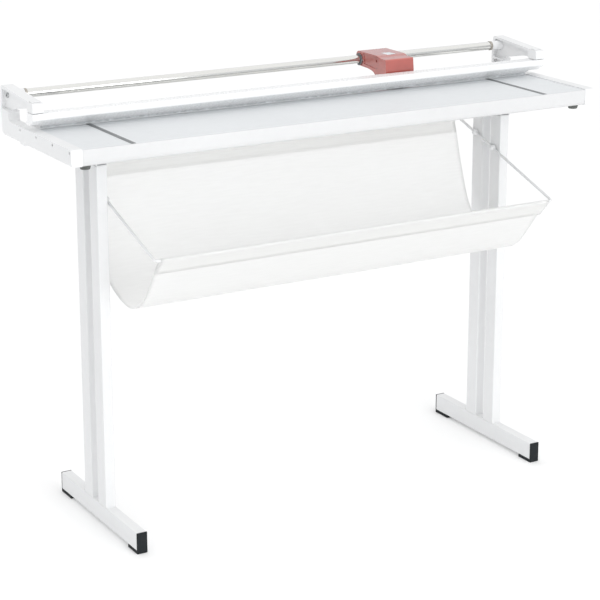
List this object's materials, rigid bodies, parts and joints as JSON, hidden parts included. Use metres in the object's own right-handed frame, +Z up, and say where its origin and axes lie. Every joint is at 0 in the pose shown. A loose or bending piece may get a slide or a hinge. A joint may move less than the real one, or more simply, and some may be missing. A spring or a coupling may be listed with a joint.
{
  "type": "rotary paper trimmer on stand",
  "caption": "Long rotary paper trimmer on a two-leg stand: a red cutting head slides on a guide tube behind a clamp beam, with a cloth sling for offcuts below.",
  "frame": {"origin": "on the floor, under the middle of the bounding box", "axes": "+X along the cut to the operator's right, -Y towards the operator, +Z up"},
  "size_m": [1.45, 0.514, 1.0727],
  "materials": {
    "white_powder_coat": "semi-gloss powder coat on steel",
    "white_coated_aluminium": "semi-gloss white powder coat on cast and extruded aluminium",
    "grey_powder_coat": "fine-textured light grey powder coat",
    "white_rod_coat": "white dip-coated steel rod",
    "white_plastic": "satin moulded plastic",
    "blade_steel": "ground hardened steel",
    "zinc_plated_steel": "zinc plated",
    "guide_tube_steel": "warm grey drawn steel tube, satin",
    "dark_elastomer": "dark brown bumper ring",
    "black_strip": "matt black scale strip",
    "black_rubber": "matt black moulded rubber",
    "red_plastic": "semi-gloss red moulding",
    "dark_grey_plastic": "dark grey low-friction moulding",
    "sling_cloth": "white woven cloth"
  },
  "bodies": {
    "table_and_stand": {"left_end_frame": "white_coated_aluminium", "right_end_frame": "white_coated_aluminium", "front_rail": "white_powder_coat", "bed_rail": "white_powder_coat", "rear_rail": "white_powder_coat", "left_front_leg": "white_powder_coat", "right_front_leg": "white_powder_coat", "left_rear_leg": "white_powder_coat", "right_rear_leg": "white_powder_coat", "left_foot_tube": "white_powder_coat", "right_foot_tube": "white_powder_coat", "left_top_bearer": "white_powder_coat", "right_top_bearer": "white_powder_coat", "table_top": "grey_powder_coat", "front_hem_rod": "white_rod_coat", "rear_sling_rod": "white_rod_coat", "left_sling_arm": "white_rod_coat", "right_sling_arm": "white_rod_coat", "left_tube_socket": "white_plastic", "right_tube_socket": "white_plastic", "left_nose_cap": "white_plastic", "right_nose_cap": "white_plastic", "left_front_arm_clip": "white_plastic", "right_front_arm_clip": "white_plastic", "left_rear_arm_clip": "white_plastic", "right_rear_arm_clip": "white_plastic", "fixed_blade": "blade_steel", "left_tube_screw": "zinc_plated_steel", "right_tube_screw": "zinc_plated_steel", "left_beam_spring": "zinc_plated_steel", "right_beam_spring": "zinc_plated_steel", "guide_tube": "guide_tube_steel", "left_bumper_ring": "dark_elastomer", "right_bumper_ring": "dark_elastomer", "left_scale_strip": "black_strip", "right_scale_strip": "black_strip", "left_front_table_foot": "black_rubber", "right_front_table_foot": "black_rubber", "left_rear_table_foot": "black_rubber", "right_rear_table_foot": "black_rubber", "left_front_foot_cap": "black_rubber", "right_front_foot_cap": "black_rubber", "left_rear_foot_cap": "black_rubber", "right_rear_foot_cap": "black_rubber", "paper_sling": "sling_cloth"},
    "clamp": {"clamp_beam": "white_coated_aluminium", "clamp_rubber": "black_rubber", "left_beam_pin": "zinc_plated_steel", "right_beam_pin": "zinc_plated_steel"},
    "cutting_head": {"head_housing": "red_plastic", "left_guide_bush": "dark_grey_plastic", "right_guide_bush": "dark_grey_plastic", "left_roller_axle": "zinc_plated_steel", "right_roller_axle": "zinc_plated_steel", "blade_axle": "zinc_plated_steel", "blade_spring": "zinc_plated_steel"},
    "blade": {"blade_wheel": "blade_steel", "blade_hub": "dark_grey_plastic"},
    "left_roller": {"left_press_roller": "dark_grey_plastic"},
    "right_roller": {"right_press_roller": "dark_grey_plastic"}
  },
  "joints": [
    {"name": "head_slide", "type": "slide", "parent": "table_and_stand", "child": "cutting_head", "axis": [1, 0, 0], "range_m": [-0.918, 0.318]},
    {"name": "clamp_press", "type": "slide", "parent": "table_and_stand", "child": "clamp", "axis": [0, 0, 1], "range_m": [-0.0015, 0], "stiffness_N_per_m": 1500, "springref_m": 0.05, "deforming": ["left_beam_spring", "right_beam_spring"]},
    {"name": "blade_spin", "type": "hinge", "parent": "cutting_head", "child": "blade", "pos_m": [0.3, 0.08, 1.01], "axis": [0, 1, 0], "continuous": true},
    {"name": "left_roller_spin", "type": "hinge", "parent": "cutting_head", "child": "left_roller", "pos_m": [0.266, 0.063, 1.0173], "axis": [0, 1, 0], "continuous": true},
    {"name": "right_roller_spin", "type": "hinge", "parent": "cutting_head", "child": "right_roller", "pos_m": [0.334, 0.063, 1.0173], "axis": [0, 1, 0], "continuous": true}
  ],
  "couplings": [
    {"joint": "blade_spin", "follows": "head_slide", "rad_per_m": 45.455},
    {"joint": "left_roller_spin", "follows": "head_slide", "rad_per_m": 142.86},
    {"joint": "right_roller_spin", "follows": "head_slide", "rad_per_m": 142.86}
  ]
}
